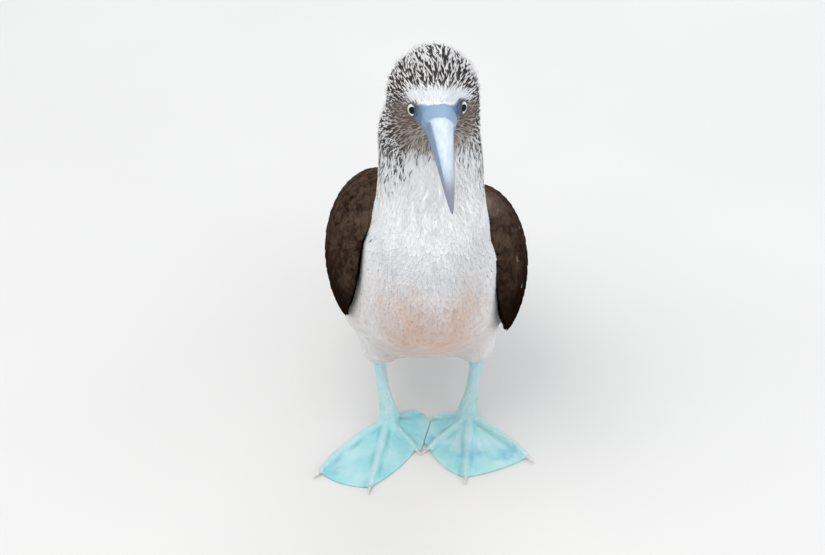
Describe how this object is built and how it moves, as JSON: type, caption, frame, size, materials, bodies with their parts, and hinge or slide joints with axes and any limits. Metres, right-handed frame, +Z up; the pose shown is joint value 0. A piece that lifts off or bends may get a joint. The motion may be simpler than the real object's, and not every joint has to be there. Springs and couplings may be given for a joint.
{
  "type": "blue-footed booby model",
  "caption": "Life-size still model of a blue-footed booby standing upright with folded wings, long bill pointing forward and broad webbed feet flat on the floor.",
  "frame": {"origin": "middle of the footprint of the whole bird, on the floor it stands on", "axes": "+Z up, the bird faces -Y, +X is the bird's left"},
  "size_m": [0.1948, 0.4882, 0.4285],
  "materials": {
    "head_plumage": "dark brown feathers with whitish pointed tips",
    "neck_plumage": "white feathers with dark streaks that fade out downwards",
    "white_plumage": "soft white body feathers",
    "wing_plumage": "dark brown feathers with paler edges",
    "tail_plumage": "grey-brown feathers, paler in the middle",
    "bill_horn": "pale blue-grey horn",
    "eye": "pale yellow iris with a black pupil, wet gloss",
    "foot_skin": "turquoise skin with fine scales"
  },
  "bodies": {
    "root": {"head": "head_plumage", "neck": "neck_plumage", "torso": "white_plumage", "thigh_left": "white_plumage", "thigh_right": "white_plumage", "wing_left": "wing_plumage", "wing_right": "wing_plumage", "tail": "tail_plumage", "bill_upper": "bill_horn", "bill_lower": "bill_horn", "eye_left": "eye", "eye_right": "eye", "leg_left": "foot_skin", "leg_right": "foot_skin", "foot_left": "foot_skin", "foot_right": "foot_skin"}
  },
  "joints": []
}
